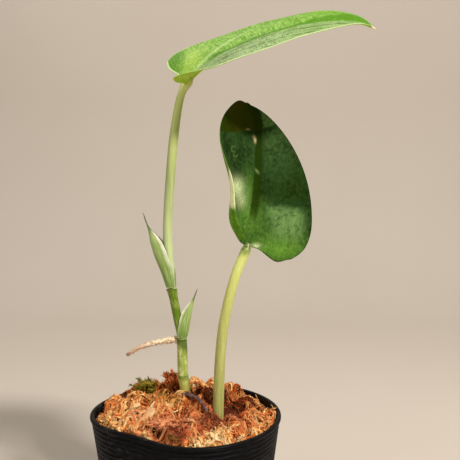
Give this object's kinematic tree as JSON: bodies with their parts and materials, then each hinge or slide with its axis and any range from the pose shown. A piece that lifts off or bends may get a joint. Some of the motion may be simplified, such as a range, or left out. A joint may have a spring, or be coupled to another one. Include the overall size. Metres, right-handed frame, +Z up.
{
  "type": "potted sparkling scindapsus",
  "caption": "Young climbing aroid in a soft black nursery pot filled with moss: an upright stem with a leaf reaching to the right and an upright leaf on its own petiole.",
  "frame": {"origin": "middle of the pot's underside", "axes": "+Z up along the pot's axis, +X to the right and +Y away from the viewer at the front"},
  "size_m": [0.1355, 0.0883, 0.2695],
  "materials": {
    "pot": "semi-gloss black soft plastic, a little dusty",
    "moss": "dry curled sphagnum, matt",
    "pink_moss": "dry sphagnum heads, matt",
    "red_moss": "dry red-brown moss, matt",
    "green_moss": "living green moss, matt",
    "dead_root": "dead root, satin",
    "stem": "living green stem, satin",
    "sheath": "pale leaf sheath with thin dry margins, satin",
    "petiole": "living pale green petiole, satin",
    "upper_leaf": "lit green blade with silvery speckle, satin",
    "right_leaf": "dark green blade with silvery speckle, satin",
    "aerial_root": "crusty pale tan root, matt"
  },
  "bodies": {
    "root": {"pot": "pot", "moss_bed": "moss", "pink_moss": "pink_moss", "red_moss": "red_moss", "green_moss": "green_moss", "dead_root": "dead_root", "stem": "stem", "lower_sheath": "sheath", "upper_sheath": "sheath", "upper_petiole": "petiole", "upper_leaf": "upper_leaf", "right_petiole": "petiole", "right_leaf": "right_leaf", "aerial_root": "aerial_root"}
  },
  "joints": []
}
